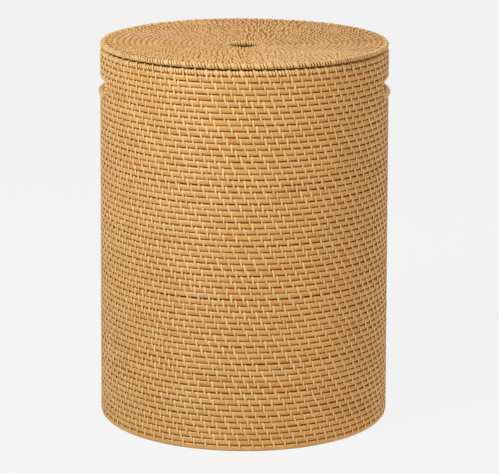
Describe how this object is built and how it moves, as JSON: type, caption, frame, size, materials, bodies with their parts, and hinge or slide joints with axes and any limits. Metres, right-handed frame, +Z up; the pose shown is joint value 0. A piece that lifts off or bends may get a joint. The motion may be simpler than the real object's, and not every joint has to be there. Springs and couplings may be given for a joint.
{
  "type": "laundry basket",
  "caption": "Round coiled cane laundry basket with a loose coiled lid, a finger hole in the lid and a bound hand opening on each side.",
  "frame": {"origin": "centre of the foot, on the floor", "axes": "+Z up through the middle of the lid; the hand openings face +X and -X"},
  "size_m": [0.428, 0.428, 0.5595],
  "materials": {
    "rattan_core": "honey-coloured round cane, satin clear lacquer",
    "rattan_peel": "lighter split peel, satin clear lacquer"
  },
  "bodies": {
    "basket": {"base_cane_inner": "rattan_core", "base_cane_middle": "rattan_core", "base_cane_outer": "rattan_core", "wall_cane_01": "rattan_core", "wall_cane_02": "rattan_core", "wall_cane_03": "rattan_core", "wall_cane_04": "rattan_core", "wall_cane_05": "rattan_core", "wall_cane_06": "rattan_core", "wall_cane_07": "rattan_core", "wall_cane_08": "rattan_core", "wall_cane_09": "rattan_core", "wall_cane_10": "rattan_core", "wall_cane_11": "rattan_core", "wall_cane_12": "rattan_core", "wall_cane_13": "rattan_core", "wall_cane_14": "rattan_core", "handle_level_front": "rattan_core", "handle_level_back": "rattan_core", "wall_cane_top": "rattan_core", "rim_core": "rattan_core", "rim_binding": "rattan_peel", "handle_left_core": "rattan_core", "handle_left_binding": "rattan_peel", "handle_right_core": "rattan_core", "handle_right_binding": "rattan_peel"},
    "lid": {"lid_cane_inner": "rattan_core", "lid_cane_middle": "rattan_core", "lid_cane_outer": "rattan_core", "lid_edge_core": "rattan_core", "lid_edge_binding": "rattan_peel", "finger_hole_core": "rattan_core", "finger_hole_binding": "rattan_peel", "seat_cane_upper": "rattan_core", "seat_cane_lower": "rattan_core"}
  },
  "joints": [
    {"name": "lid_lift", "type": "slide", "parent": "basket", "child": "lid", "axis": [0, 0, 1], "range_m": [0, 0.3]}
  ]
}
